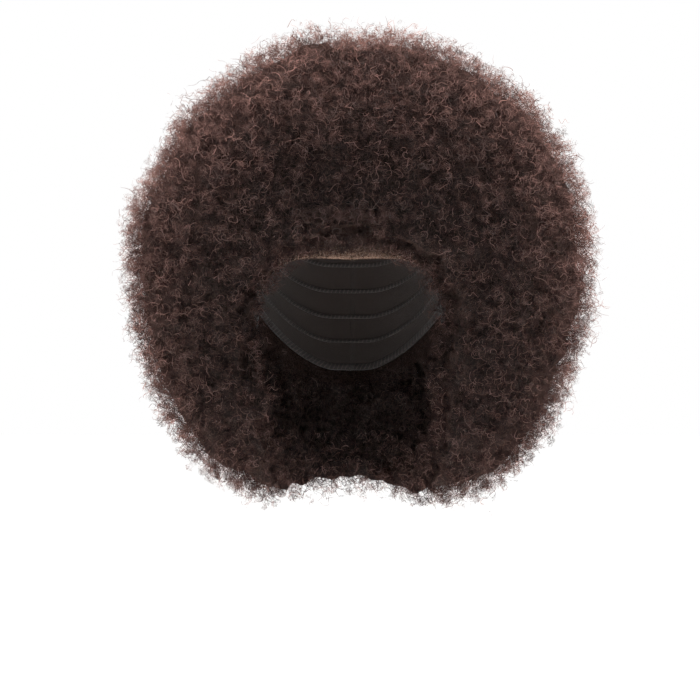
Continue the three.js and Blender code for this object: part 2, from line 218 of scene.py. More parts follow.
def maths(operation, swapped=False):
    """A method that adds one Math node of this operation. Swapped, its values go in the other way round."""
    def method(self, *others):
        values = (*others, self) if swapped else (self, *others)
        return self.paint.node("ShaderNodeMath", {"operation": operation}, dict(enumerate(values)))
    return method


class Signal:
    """An output socket in a material. Arithmetic on it adds Math nodes."""

    def __init__(self, paint, socket):
        self.paint = paint
        self.socket = socket

    __add__ = __radd__ = maths("ADD")
    __mul__ = __rmul__ = maths("MULTIPLY")
    __sub__ = maths("SUBTRACT")
    __rsub__ = maths("SUBTRACT", swapped=True)
    __truediv__ = maths("DIVIDE")
    __pow__ = maths("POWER")
    sine = maths("SINE")
    size = maths("ABSOLUTE")
    whole = maths("FLOOR")
    most = maths("MAXIMUM")

    def over(self, low, high):
        """0 below low, 1 above high, and a smooth step between them."""
        return self.paint.node(
            "ShaderNodeMapRange", {"interpolation_type": "SMOOTHSTEP"},
            {"Value": self, "From Min": low, "From Max": high})


class Paint:
    """A material's node tree, with methods that add nodes to it."""

    def __init__(self, name):
        self.material = bpy.data.materials.new(name)
        self.material.use_nodes = True
        self.tree = self.material.node_tree
        self.tree.nodes.clear()

    def node(self, kind, settings=None, inputs=None, output=0):
        """A node of this type, with its settings made first and its inputs set or linked. Returns one of its
        outputs, or nothing for the node that ends the tree."""
        made = self.tree.nodes.new(kind)
        for name, value in (settings or {}).items():
            if name == "stops":
                self._ramp(made.color_ramp, value)
            else:
                setattr(made, name, value)
        for name, value in (inputs or {}).items():
            if isinstance(value, Signal):
                self.tree.links.new(value.socket, made.inputs[name])
            else:
                made.inputs[name].default_value = value
        return Signal(self, made.outputs[output]) if made.outputs else None

    @staticmethod
    def _ramp(ramp, stops):
        while len(ramp.elements) < len(stops):
            ramp.elements.new(0.5)
        for element, (place, shade) in zip(ramp.elements, stops):
            element.position = place
            element.color = shade

    def place(self):
        """Object coordinates."""
        return self.node("ShaderNodeTexCoord", output=3)

    def uv(self, name):
        """A UV map as a vector, and its two axes."""
        vector = self.node("ShaderNodeUVMap", {"uv_map": name})
        across, along = (
            self.node("ShaderNodeSeparateXYZ", {}, {"Vector": vector}, output=axis) for axis in range(2))
        return vector, across, along

    def noise(self, vector, scale, detail, distortion=0.0, dimensions="3D"):
        return self.node("ShaderNodeTexNoise", {"noise_dimensions": dimensions}, {
            "Vector": vector, "Scale": scale, "Detail": detail, "Distortion": distortion})

    def mix(self, share, first, second):
        """The colour first where share is 0, and second where it is 1. Each is a signal or a plain colour."""
        first, second = (each if isinstance(each, Signal) else (*each, 1.0) for each in (first, second))
        return self.node("ShaderNodeMix", {"data_type": "RGBA"}, {0: share, 6: first, 7: second}, output=2)

    def bump(self, height, strength, depth):
        return self.node("ShaderNodeBump", {}, {"Strength": strength, "Distance": depth, "Height": height})

    def surface(self, glow=None, cover=None, **inputs):
        """The finished surface: a Principled shader with these inputs. Where glow is given as a colour and a
        share, that share of it lets light through from behind in that colour. Where cover is given, the
        surface is open at 0 and solid at 1."""
        named = {name.replace("_", " "): value for name, value in inputs.items()}
        shader = self.node("ShaderNodeBsdfPrincipled", {}, named)
        if glow is not None:
            tint, share = glow
            through = self.node("ShaderNodeBsdfTranslucent", {}, {"Color": rgba(tint)})
            shader = self.node("ShaderNodeMixShader", {}, {0: share, 1: shader, 2: through})
        if cover is not None:
            open_air = self.node("ShaderNodeBsdfTransparent")
            shader = self.node("ShaderNodeMixShader", {}, {0: cover, 1: open_air, 2: shader})
        self.node("ShaderNodeOutputMaterial", {}, {"Surface": shader})
        return self.material


def rgba(plain):
    return (*plain, 1.0)


def hair_ramp(paint, colours, tone):
    """The painted shade between the curls where tone is 0, the body of the curls at 0.45, and the lightest at
    1.
    """
    stops = ((0.0, rgba(colours.hair_shade_and_knots)), (0.45, rgba(colours.hair_mid)), (1.0, rgba(colours.hair_light)))
    return paint.node("ShaderNodeValToRGB", {"stops": stops}, {"Fac": tone})


def bed_paint(colours):
    """Dense hair: looping fibres drawn as the contour lines of noise, over darker and lighter tufts. The
    colour
    follows the bump: painted shade in the hollows between tufts and painted highlights on the fibres.
    """
    paint = Paint("hair_bed")
    place = paint.place()

    def contours(scale, count, distortion):
        """Thin lines where noise passes each of count levels, as loops of fibre."""
        return (1 - (paint.noise(place, scale, 2.0, distortion) * count).sine().size()) ** 4.0

    tufts_and_shade = paint.noise(place, 55.0, 3.0).over(0.3, 0.72)
    fibres_and_highlights = contours(170.0, 13.0, 0.8) + contours(240.0, 11.0, 1.1) * 0.8 + contours(110.0, 17.0, 1.4) * 0.8
    fine = paint.noise(place, 900.0, 4.0)
    # Painted highlights: the fibres are lighter, most of all on the raised tufts.
    light = (fibres_and_highlights * (0.3 + tufts_and_shade * 0.7)).over(0.2, 1.5)
    # Painted shade: the hollows between tufts are darker.
    base = paint.mix(tufts_and_shade * 0.6, colours.hair_shade_and_knots, colours.hair_mid)
    shade = paint.mix(light * 0.5, base, colours.hair_light)
    height = fibres_and_highlights * 0.6 + tufts_and_shade * 0.8 + fine * 0.4
    return paint.surface(
        Base_Color=shade, Roughness=0.7, Specular_IOR_Level=0.0, Sheen_Weight=0.2,
        Sheen_Tint=rgba(colours.hair_sheen), Normal=paint.bump(height, 0.9, 0.0014))


def strand_paint(colours, name, tip_share, glow_share):
    """Strands of hair: their UV map holds a tone across and root to tip along. The tone runs from the painted
    shade between the curls to the lightest. The tips redden, partly in their own colour and partly as
    painted backlight, and light strands let light through."""
    paint = Paint(name)
    _, tone, along = paint.uv("OFBake")
    # Partly painted backlight: the reddening towards the tips.
    tip = (along ** 2.0) * tip_share * (0.3 + tone * 0.7) * 0.3
    shade = paint.mix(tip, hair_ramp(paint, colours, tone), colours.hair_tip_and_backlight)
    glow = (colours.hair_tip_and_backlight, tone * glow_share)
    return paint.surface(glow, Base_Color=shade, Roughness=0.5, Specular_IOR_Level=0.0)


def tangle_paint(colours):
    """Tangled fine hair on small cards: the contour lines of noise over the UV map's square of tiles, one to
    a card. Each row of tiles is lighter and finer than the one below, and the hair thins out at a tile's
    rim. Cards take lighter rows the further out they sit, so the rows carry painted shade deep in the hair."""
    paint = Paint("hair_tangle")
    square, u, v = paint.uv("OFBake")
    u, v = u * TILES, v * TILES
    row = v.whole()
    finer = row * 0.22 + 1

    def contours(scale, count, distortion, width):
        levels = (paint.noise(square, scale, 1.0, distortion, "2D") * count).sine().size()
        return 1 - (levels * finer).over(width * 0.7, width)

    across, along = u - u.whole() - 0.5, v - row - 0.5
    rim = (across * across + along * along) ** 0.5
    fray = paint.noise(square, 46.0, 1.0, 0.0, "2D")
    inside = 1 - (rim + fray * 0.5).over(0.56, 0.6)
    loops = contours(9.5, 21.0, 0.5, 0.36)
    threads = contours(15.0, 15.0, 0.9, 0.3)
    cover = loops.most(threads) * inside
    tone = row / (TILES - 1) * 0.45 + threads * 0.15 + fray * 0.3
    glow = (colours.hair_tip_and_backlight, tone * 0.5)
    return paint.surface(
        glow, cover, Base_Color=hair_ramp(paint, colours, tone), Roughness=0.6, Specular_IOR_Level=0.0)


def net_paint(colours):
    """Stretch net: two crossing sets of fine cords with open cells between, over UV in metres."""
    paint = Paint("cap_net")
    _, u, v = paint.uv("cloth")
    turn = 2 * np.pi / NET_CELL
    cords = ((u + v) * turn).sine() * ((u - v) * turn).sine()
    rib = (v * (2 * np.pi / NET_RIB)).sine()
    worn = paint.noise(paint.place(), 30.0, 3.0)
    thread = cords.size().over(0.02, 0.35)
    shade = paint.mix(thread, colours.cap, colours.net_cord)
    shade = paint.mix(worn * 0.35, shade, colours.net_worn)
    height = (1 - thread) * 0.8 + rib * 0.12
    return paint.surface(
        Base_Color=shade, Roughness=0.78, Specular_IOR_Level=0.08, Sheen_Weight=0.1,
        Normal=paint.bump(height, 0.7, 0.0006))


def band_paint(colours):
    """Woven elastic and weft tape: ribs along the band with slanting stitches across, over UV in metres."""
    paint = Paint("cap_band")
    _, u, v = paint.uv("cloth")
    ribs = (v * (2 * np.pi / BAND_RIB)).sine()
    stitch = (u * (2 * np.pi / BAND_STITCH) + v * BAND_SLANT).sine().over(0.55, 0.9)
    shade = paint.mix(ribs.over(-1.0, 1.0) * 0.5, colours.cap, colours.band_rib)
    shade = paint.mix(stitch * 0.7, shade, colours.band_stitch)
    return paint.surface(
        Base_Color=shade, Roughness=0.7, Specular_IOR_Level=0.35, Sheen_Weight=0.1,
        Normal=paint.bump(ribs * 0.3 + stitch, 0.7, 0.0005))


def lace_paint(colours):
    """Sheer lace: a net of fine threads from three waves 60 degrees apart, open between them, and darker with
    knots above."""
    paint = Paint("lace_net")
    _, u, v = paint.uv("cloth")
    turn = 2 * np.pi / LACE_CELL
    waves = (u * turn).sine() + ((u * 0.5 + v * 0.866) * turn).sine() + ((u * 0.5 - v * 0.866) * turn).sine()
    thread = waves.over(-0.6, 0.9)
    place = paint.place()
    patches = paint.noise(place, 90.0, 4.0)
    knots = paint.node("ShaderNodeTexVoronoi", {}, {"Vector": place, "Scale": 620.0})
    rooted_share = (v + patches * 0.016).over(0.009, 0.025)
    knot = (1 - knots.over(0.1, 0.32)) * rooted_share
    shade = paint.mix(rooted_share * 0.85, colours.lace, colours.hair_mid)
    shade = paint.mix(knot, shade, colours.hair_shade_and_knots)
    alpha = thread * 0.28 + rooted_share * 0.3 + 0.4
    return paint.surface(
        Base_Color=shade, Roughness=0.65, Specular_IOR_Level=0.2, Alpha=alpha,
        Normal=paint.bump(thread, 0.5, 0.0003))


def floor_paint(colours):
    """Pale floor with faint clouds, which gives off a little light of its own."""
    paint = Paint("floor_pale")
    cloud = paint.noise(paint.place(), 1.5, 2.0)
    shade = paint.mix(cloud * 0.1, colours.floor, colours.floor_cloud)
    return paint.surface(
        Base_Color=shade, Roughness=0.9, Specular_IOR_Level=0.1, Emission_Color=(1.0, 1.0, 1.0, 1.0),
        Emission_Strength=0.14)


# Shapes as whole arrays


def read_table(table, at, column=1):
    """A column of a table at places along its first column, on the cubic through its rows whose slope at a
    row is that between the rows on either side."""
    keys, values = table[:, 0], table[:, column]
    lower = np.maximum(np.arange(len(keys)) - 1, 0)
    upper = np.minimum(np.arange(len(keys)) + 1, len(keys) - 1)
    slopes = (values[upper] - values[lower]) / (keys[upper] - keys[lower])
    row = np.clip(np.searchsorted(keys, at), 1, len(keys) - 1)
    span = keys[row] - keys[row - 1]
    s = np.clip((at - keys[row - 1]) / span, 0, 1)
    return ((2 * s**3 - 3 * s**2 + 1) * values[row - 1] + (s**3 - 2 * s**2 + s) * slopes[row - 1] * span
            + (3 * s**2 - 2 * s**3) * values[row] + (s**3 - s**2) * slopes[row] * span)


def unit(vectors):
    return vectors / np.maximum(np.linalg.norm(vectors, axis=-1, keepdims=True), 1e-12)


def step(low, high, at):
    """0 below low, 1 above high, and 3s^2 - 2s^3 between them."""
    s = np.clip((at - low) / (high - low), 0, 1)
    return s * s * (3 - 2 * s)


def noise_at(points, cell, seed):
    """Smooth noise from -1 to 1: random numbers at the corners of cells this wide, blended by 3s^2 - 2s^3."""
    table = np.random.default_rng(seed).uniform(-1, 1, 4096)
    corner = np.floor(points / cell).astype(np.int64)
    share = points / cell - corner
    share = share * share * (3 - 2 * share)
    total = np.zeros(len(points))
    for offset in np.ndindex(2, 2, 2):
        x, y, z = (corner + offset).T
        value = table[(x * 73856093 ^ y * 19349663 ^ z * 83492791) & 4095]
        weight = np.where(np.array(offset) == 1, share, 1 - share).prod(axis=1)
        total += value * weight
    return total


def ball_angles(points, shape):
    """Degrees round from the front and above the middle of the ball, and the distance from it."""
    out = points - np.array(shape.ball_middle)
    distance = np.linalg.norm(out, axis=1)
    azimuth = np.degrees(np.arctan2(out[:, 0], -out[:, 1]))
    elevation = np.degrees(np.arcsin(np.clip(out[:, 2] / np.maximum(distance, 1e-9), -1, 1)))
    return azimuth, elevation, distance


def outwardness(points, normals, shape):
    """1 where the normal points straight away from the middle of the ball, and 0 where it runs sideways."""
    return (unit(points - np.array(shape.ball_middle)) * normals).sum(axis=1)


def ball_reach(azimuth, elevation, shape):
    """Reach of the ball: side * sin^2 + end * cos^2 of the azimuth, each from the table by elevation."""
    turn = np.radians(azimuth)
    side = np.where(np.sin(turn) > 0, read_table(BALL, elevation, 1), read_table(BALL, elevation, 2))
    end = np.where(np.cos(turn) > 0, read_table(BALL, elevation, 3), read_table(BALL, elevation, 4))
    return shape.ball_radius * (side * np.sin(turn) ** 2 + end * np.cos(turn) ** 2)


def skull_room(points, shape, offset):
    """Above 0 inside the head grown all round by the offset: 1 less the ellipsoid's sum of squares."""
    x, y, z = points.T
    taper = 1 + shape.brow_taper * np.clip(y / (shape.head_length / 2), -1, 1)
    return 1 - ((x / (shape.head_breadth / 2 + offset) / taper) ** 2
                + (y / (shape.head_length / 2 + offset)) ** 2
                + ((z + shape.crown_rise) / (shape.crown_rise + offset)) ** 2)


def skull_point(azimuth, rise, offset, shape):
    """The head's surface, grown by the offset, at degrees round from the forehead and at an angle above its
    widest level."""
    turn = np.radians(azimuth)
    level = np.cos(rise)
    taper = 1 - shape.brow_taper * level * np.cos(turn)
    return np.stack([
        (shape.head_breadth / 2 + offset) * taper * level * np.sin(turn),
        -(shape.head_length / 2 + offset) * level * np.cos(turn),
        (shape.crown_rise + offset) * np.sin(rise) - shape.crown_rise,
    ], axis=-1)


def rise_at(drop, shape):
    """The angle above the widest level at which the head lies so far below its crown."""
    return np.arcsin(np.clip((shape.crown_rise - drop) / shape.crown_rise, -0.95, 1))


def hairline_drop(azimuth, shape):
    return shape.nape_drop * read_table(HAIRLINE, np.abs(azimuth))


def lace_height(azimuth):
    """The lace's height, which falls with the square of the azimuth."""
    return LACE_HEIGHT * (1 - LACE_LOSS * np.minimum(np.abs(azimuth) / LACE_TURN, 1) ** 2)


def wedge_depth(share):
    """Depth of the hair over the lace: 4 mm up to 28% of the lace's height, and 38 mm from 66% on."""
    return 0.004 + 0.034 * step(0.28, 0.66, share)


def grid_faces(rows, columns, closed=False, looped=False):
    """Four corners of each cell of a grid of points in row order. A closed grid joins its last column to its
    first, and a looped one its last row."""
    r, c = np.meshgrid(
        np.arange(rows if looped else rows - 1), np.arange(columns if closed else columns - 1), indexing="ij")
    above, after = (r + 1) % rows * columns, (c + 1) % columns
    return np.stack([r * columns + c, r * columns + after, above + after, above + c], axis=-1).reshape(-1, 4)


def added(name, data):
    """A new object in the scene."""
    made = bpy.data.objects.new(name, data)
    bpy.context.scene.collection.objects.link(made)
    return made


def riding(name, mesh):
    """A smooth-shaded piece that rides on the wig."""
    mesh.polygons.foreach_set("use_smooth", np.full(len(mesh.polygons), True))
    piece = added(name, mesh)
    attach(piece, "root")
    return piece


def new_piece(name, points, faces, material, uv, uv_name="OFBake"):
    """A piece from arrays, with one UV place for each point."""
    mesh = bpy.data.meshes.new(name)
    mesh.vertices.add(len(points))
    mesh.vertices.foreach_set("co", np.asarray(points, np.float32).ravel())
    mesh.loops.add(faces.size)
    mesh.loops.foreach_set("vertex_index", faces.astype(np.int32).ravel())
    mesh.polygons.add(len(faces))
    mesh.polygons.foreach_set("loop_start", np.arange(0, faces.size, faces.shape[1], dtype=np.int32))
    mesh.update(calc_edges=True)
    layer = mesh.uv_layers.new(name=uv_name)
    layer.uv.foreach_set("vector", np.asarray(uv, np.float32)[faces.ravel()].ravel())
    mesh.validate()
    mesh.materials.append(material)
    return riding(name, mesh)


def array_of(items, what, width, kind=np.float32):
    """One attribute of all the items of a mesh, as rows of this width."""
    values = np.empty(len(items) * width, kind)
    items.foreach_get(what, values)
    return values.reshape(-1, width)


def vertex_array(mesh, what="co"):
    """The places of a mesh's vertices, or their normals."""
    return array_of(mesh.vertices, what, 3).astype(float)


# The bed of hair


def joined_copy(names, cell):
    """One even-celled mesh round all these solids, so that the seams between them close."""
    build = bmesh.new()
    for name in names:
        build.from_mesh(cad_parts[name].data)
    bmesh.ops.remove_doubles(build, verts=build.verts, dist=1e-6)
    mesh = bpy.data.meshes.new("hair_blank")
    build.to_mesh(mesh)
    build.free()
    blank = added("hair_blank", mesh)
    remesh = blank.modifiers.new("Remesh", "REMESH")
    remesh.mode = "VOXEL"
    remesh.voxel_size = cell
    remesh.adaptivity = 0.0
    depsgraph = bpy.context.evaluated_depsgraph_get()
    made = bpy.data.meshes.new_from_object(blank.evaluated_get(depsgraph))
    bpy.data.objects.remove(blank)
    return made


def relaxed(points, edges, rounds, share):
    """Each point moved a share of the way to the mean of its neighbours, this many rounds."""
    a, b = edges.T
    count = np.bincount(np.concatenate([a, b]), minlength=len(points))[:, None]
    for _ in range(rounds):
        total = np.stack([
            np.bincount(a, points[b, axis], len(points)) + np.bincount(b, points[a, axis], len(points))
            for axis in range(points.shape[1])
        ], axis=1)
        points = points + share * (total / np.maximum(count, 1) - points)
    return points


def tuft_height(points):
    """Tufts that lift and sink the hair: the sum of noise 27, 12 and 7 mm across, of 3.3, 2.6 and 1.8 mm."""
    return (0.0033 * noise_at(points, 0.027, 11) + 0.0026 * noise_at(points, 0.012, 12)
            + 0.0018 * noise_at(points, 0.007, 13))


def shifted_by_noise(points):
    """A shift of up to 4 mm each way by noise 10 mm across, and of 4 mm by noise 24 mm across, which roughens
    the walls and rims of the opening."""
    return 0.004 * np.stack([
        noise_at(points, 0.01, 14 + axis) + noise_at(points, 0.024, 17 + axis) for axis in range(3)
    ], axis=1)


def wall_share(points, normals, edges, shape):
    """1 on the walls and rims of the opening and 0 on the ball: how little the normals point away from the
    ball's middle, averaged over the neighbours."""
    outward = outwardness(points, normals, shape)[:, None]
    return 1 - step(0.3, 0.6, relaxed(outward, edges, 14, 0.5))


def bed_points(points, normals, edges, shape, hair):
    """The bed's surface. A point 20 mm or less inside the outline moves along its ray to the ball less an
    inset, which is 6 mm more at the lower edge, and one 34 mm or more inside stays. That fills the valleys
    between locks. Tufts of noise lift and sink it, and the walls of the opening are roughened. What reaches
    into the cap is scaled out from the middle of the head by 1 / the root of the ellipsoid's sum of
    squares."""
    wall = wall_share(points, normals, edges, shape)
    points = relaxed(points, edges, 4, 0.5)
    azimuth, elevation, distance = ball_angles(points, shape)
    reach = ball_reach(azimuth, elevation, shape)
    thin = (1 - step(-75, -45, elevation)) * 0.006
    wanted = reach - hair.bed_inset - thin + tuft_height(points)
    share = step(reach - 0.034, reach - 0.02, distance)
    middle = np.array(shape.ball_middle)
    moved = distance + share * (wanted - distance)
    points = middle + (points - middle) * (moved / np.maximum(distance, 1e-9))[:, None]
    rough = np.maximum(1 - share[:, None], wall)
    points = relaxed(points, edges, 1, 0.3) + shifted_by_noise(points) * rough
    head = np.array([0, 0, -shape.crown_rise])
    inside = np.clip(1 - skull_room(points, shape, 0.0045), 0.05, None)
    return head + (points - head) / np.sqrt(np.minimum(inside, 1))[:, None]


class WIG_OT_hair_bed(bpy.types.Operator):
    """Adds the dense bed of hair in place of the six lock-covered solids"""

    bl_idname = "wig.hair_bed"
    bl_label = "Hair bed"

    def execute(self, context):
        shape, hair = context.scene.wig_shape, context.scene.wig_hair
        mesh = joined_copy(HAIR_NODES, hair.bed_cell)
        if not mesh.vertices:
            raise RuntimeError("the hair solids gave no surface")
        edges = array_of(mesh.edges, "vertices", 2, np.int32)
        points = bed_points(vertex_array(mesh), vertex_array(mesh, "normal"), edges, shape, hair)
        mesh.vertices.foreach_set("co", points.astype(np.float32).ravel())
        mesh.name = "hair_bed"
        mesh.update()
        mesh.materials.clear()
        mesh.materials.append(bed_paint(context.scene.wig_colours))
        bed = riding("hair_bed", mesh)
        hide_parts(*HAIR_NODES)
        return {"FINISHED"}


# Curls and loose hairs


def scatter(mesh, count, rng):
    """So many points at random on the mesh, even by area, with the normals of their faces."""
    mesh.calc_loop_triangles()
    triangles = vertex_array(mesh)[array_of(mesh.loop_triangles, "vertices", 3, np.int32)]
    cross = np.cross(triangles[:, 1] - triangles[:, 0], triangles[:, 2] - triangles[:, 0])
    area = np.linalg.norm(cross, axis=1)
    chosen = rng.choice(len(triangles), count, p=area / area.sum())
    a, b = rng.random((2, count, 1))
    fold = a + b > 1
    a, b = np.where(fold, 1 - a, a), np.where(fold, 1 - b, b)
    corner = triangles[chosen]
    places = corner[:, 0] + a * (corner[:, 1] - corner[:, 0]) + b * (corner[:, 2] - corner[:, 0])
    return places, unit(cross[chosen])


def in_the_open(places, normals, shape):
    """True where hair can grow out: the space before the surface isn't the head in the cap."""
    return skull_room(places + normals * 0.005, shape, 0.001) < 0


def curl_paths(roots, axes, sizes, steps, rng):
    """Paths of curls, as (curl, step, xyz). Each runs along its axis and turns round it:
    root + axis * length * t + radius * (across * cos a + over * sin a), where a = start + 2 pi * turns * t,
    the radius swells by a quarter on the way, and the axis itself sways."""
    count = len(roots)
    t = np.linspace(0, 1, steps + 1)[None, :, None]
    length, radius, turns, sway = (sizes[key][:, None, None] for key in ("length", "radius", "turns", "sway"))
    start = rng.uniform(0, 2 * np.pi, (count, 1, 1))
    across = unit(np.cross(axes, unit(rng.normal(size=(count, 3)))))
    over = np.cross(axes, across)
    sideways = unit(across * rng.normal(size=(count, 1)) + over * rng.normal(size=(count, 1)))
    angle = start + 2 * np.pi * turns * t
    swell = radius * (0.85 + 0.25 * np.sin(np.pi * t + start))
    bend = sway * np.sin(2.2 * np.pi * t * rng.uniform(0.4, 1, (count, 1, 1)) + start)
    return (roots[:, None] + axes[:, None] * length * t + sideways[:, None] * bend
            + swell * (across[:, None] * np.cos(angle) + over[:, None] * np.sin(angle)))


def ribbons(paths, widths, facing, tones):
    """Flat strands along paths. Every path point becomes two, half a width to either side, square to the path
    and to the way it faces. The width narrows to a third at the tip. The UV holds the tone across and root to
    tip along."""
    count, places = paths.shape[:2]
    t = np.linspace(0, 1, places)[None, :, None]
    along = unit(np.gradient(paths, axis=1))
    side = unit(np.cross(along, facing[:, None]))
    half = widths[:, None, None] / 2 * (1 - 0.66 * t**3)
    points = np.stack([paths - side * half, paths + side * half], axis=2).reshape(-1, 3)
    first = np.arange(count)[:, None] * places * 2 + np.arange(places - 1)[None, :] * 2
    faces = np.stack([first, first + 1, first + 3, first + 2], axis=-1).reshape(-1, 4)
    tone = np.clip(tones, 0.02, 0.98)[:, None, None] + np.array([-0.012, 0.012])[None, None, :]
    tone = np.broadcast_to(tone, (count, places, 2))
    height = np.broadcast_to(t * 0.98 + 0.01, (count, places, 2))
    return points, faces, np.stack([tone, height], axis=-1).reshape(-1, 2)


def section_of(places, shape):
    """Which section of hair a place belongs to, as an index into HAIR_NODES."""
    azimuth, elevation, _ = ball_angles(places, shape)
    turn = np.abs(azimuth)
    side = np.where(azimuth > 0, 2, 3)
    low = np.where(turn < 48, 0, np.where(turn < 128, side, np.where(elevation > -22, 4, 5)))
    return np.where(elevation > 46, 1, low)


def flow_at(places, cell, seed):
    """The way that hair runs there, as a direction that turns smoothly over cells this wide."""
    return unit(np.stack([noise_at(places, cell, seed + axis) for axis in range(3)], axis=1))


def tone_and_painted_light(places, shape):
    """How much lighter hair is there: 0.2 times the sine of the elevation, less 0.05, less 0.12 that fades
    out from 75 to 150 mm from the middle of the face opening, and noise 36 mm across of 0.1 either way. The
    elevation term is painted light from above, which makes the crown lightest. The term round the opening
    is painted shade, which makes the hair there darkest. The noise is random tone."""
    elevation = ball_angles(places, shape)[1]
    from_face = np.linalg.norm(places - np.array([0, -0.1, -shape.crown_rise - 0.025]), axis=1)
    return (0.2 * np.sin(np.radians(elevation)) - 0.05 - 0.12 * (1 - step(0.075, 0.15, from_face))
            + 0.1 * noise_at(places, 0.036, 51))


def layer_share(places, normals, shape):
    """How deep the layer of loose hair is there: 1 on the ball's outer side, 0.7 under its lower edge, 0.8 on
    the rim of the opening and 0.5 further in."""
    azimuth, elevation, distance = ball_angles(places, shape)
    inset = ball_reach(azimuth, elevation, shape) - distance
    outward = outwardness(places, normals, shape)
    under = (normals[:, 2] < -0.55) & (places[:, 2] < -0.2)
    return np.select([(inset < 0.028) & (outward > 0.3), under, inset < 0.05], [1.0, 0.7, 0.8], 0.5)


def rooted(count, shape, rng, least=0.0):
    """Places on the bed where hair can grow out and the loose layer has more than the least share, with their
    normals and shares."""
    bed = bpy.data.objects.get("hair_bed")
    if bed is None:
        raise RuntimeError("add the hair bed first")
    places, normals = scatter(bed.data, count * 4, rng)
    shares = layer_share(places, normals, shape)
    free = in_the_open(places, normals, shape) & (shares > least)
    if free.sum() < count:
        raise RuntimeError("too little open surface on the hair bed")
    return places[free][:count], normals[free][:count], shares[free][:count]


class WIG_OT_curls(bpy.types.Operator):
    """Adds the curls of every section, rooted in the bed"""

    bl_idname = "wig.curls"
    bl_label = "Curls"

    def execute(self, context):
        shape, hair = context.scene.wig_shape, context.scene.wig_hair
        rng = np.random.default_rng(hair.seed)
        places, normals, _ = rooted(hair.curl_count, shape, rng)
        count = len(places)
        draw = rng.random(count)
        kind = np.select([draw < 0.14, draw > 0.5], [0, 2], 1)

        def by_kind(*spans):
            """A number for each curl from the span of its kind, which is a ring, a curl or a wave."""
            low, high = np.array(spans)[kind].T
            return low + (high - low) * rng.random(count)

        sizes = {
            "length": hair.curl_radius * by_kind((0.4, 1.2), (1.5, 3.6), (3.0, 6.5)),
            "radius": hair.curl_radius * by_kind((0.9, 1.7), (0.55, 1.1), (0.6, 1.5)),
            "turns": by_kind((1.0, 1.4), (1.3, 2.0), (0.5, 1.2)),
            "sway": by_kind((0.0, 0.0005), (0.0003, 0.0015), (0.0005, 0.003)),
        }
        run = flow_at(places, 0.014, 31)
        loose = unit(rng.normal(size=(count, 3)))
        outward = by_kind((0.6, 1.6), (-0.2, 0.9), (-0.2, 0.7))[:, None]
        axes = unit(normals * outward + run * 0.8 + loose * 0.6)
        height = rng.random(count) ** 1.1
        roots = places + normals * (height * hair.curl_layer - 0.0005)[:, None]
        paths = curl_paths(roots - axes * (sizes["length"] * 0.3)[:, None], axes, sizes, 10, rng)
        facing = unit(normals + rng.normal(size=(count, 3)) * 0.6)
        widths = hair.curl_width * rng.uniform(0.6, 1.35, count)
        patches = noise_at(places, 0.022, 21) * 0.12 + noise_at(places, 0.008, 22) * 0.08
        # The place adds painted light on the crown and painted shade round the face opening to the random
        # patches.
        patches += tone_and_painted_light(places, shape)
        # Curls deeper in the layer are darker: painted shade inside the hair.
        tones = np.clip(rng.beta(1.8, 3.2, count) * 0.75 + height * 0.3 + patches, 0, 1)
        material = strand_paint(context.scene.wig_colours, "hair_curls", 0.3, 0.25)
        section = section_of(places, shape)
        for index, node in enumerate(HAIR_NODES):
            own = section == index
            points, faces, uv = ribbons(paths[own], widths[own], facing[own], tones[own])
            new_piece(node.replace("hair", "curls"), points, faces, material, uv)
        return {"FINISHED"}


def cards(centres, faces_to, sizes, rng):
    """Small bent squares: centre + half * (x * a + y * b + n * (bow * (1 - a^2) + twist * a * b)), with a
    from -1 to 1 in two steps and b in one. Returns the points and the faces."""
    count = len(centres)
    b, a = np.meshgrid([-1.0, 1.0], [-1.0, 0.0, 1.0], indexing="ij")
    a, b = a.ravel()[None, :, None], b.ravel()[None, :, None]
    x = unit(np.cross(faces_to, unit(rng.normal(size=(count, 3)))))
    y = np.cross(faces_to, x)
    half = sizes[:, None, None] / 2
    bow = rng.uniform(-0.45, 0.45, (count, 1, 1))
    twist = rng.uniform(-0.3, 0.3, (count, 1, 1))
    points = centres[:, None] + half * (
        x[:, None] * a + y[:, None] * b + faces_to[:, None] * (bow * (1 - a**2) + twist * a * b))
    faces = grid_faces(2, 3)[None] + (np.arange(count) * 6)[:, None, None]
    return points.reshape(-1, 3), faces.reshape(-1, 4)


def tile_places(column, height):
    """UV places of the cards' six points, just inside the tile that each card uses: (tile + local place) over
    the tiles each way. The height picks the row, in whole tiles."""
    row = np.clip(np.floor(height), 0, TILES - 1)
    local = np.stack(np.meshgrid([0.02, 0.5, 0.98], [0.02, 0.98]), axis=-1).reshape(1, 6, 2)
    return ((np.stack([column, row], axis=1)[:, None] + local) / TILES).reshape(-1, 2)


def tangle_material(colours):
    return bpy.data.materials.get("hair_tangle") or tangle_paint(colours)


class WIG_OT_tangles(bpy.types.Operator):
    """Adds the fine tangled hair between the curls"""

    bl_idname = "wig.tangles"
    bl_label = "Tangled fine hair"

    def execute(self, context):
        shape, hair = context.scene.wig_shape, context.scene.wig_hair
        rng = np.random.default_rng(hair.seed + 3)
        places, normals, shares = rooted(hair.tangle_count, shape, rng)
        count = len(places)
        height = rng.beta(1.1, 1.9, count) * shares * hair.tangle_layer
        sizes = rng.uniform(0.0052, 0.0102, count)
        centres = places + normals * (height + 0.0005)[:, None]
        faces_to = unit(normals * 0.45 + unit(rng.normal(size=(count, 3))))
        points, faces = cards(centres, faces_to, sizes, rng)
        share = height / hair.tangle_layer
        # Painted light on the crown and painted shade round the face opening, with random tone, move the row.
        lighter = tone_and_painted_light(places, shape) * 4
        # Cards further out take lighter rows: painted shade deep in the hair.
        row = share * 3.2 + lighter + rng.normal(size=count) * 0.6
        uv = tile_places(rng.integers(0, TILES, count), row)
        new_piece("hair_tangles", points, faces, tangle_material(context.scene.wig_colours), uv)
        return {"FINISHED"}


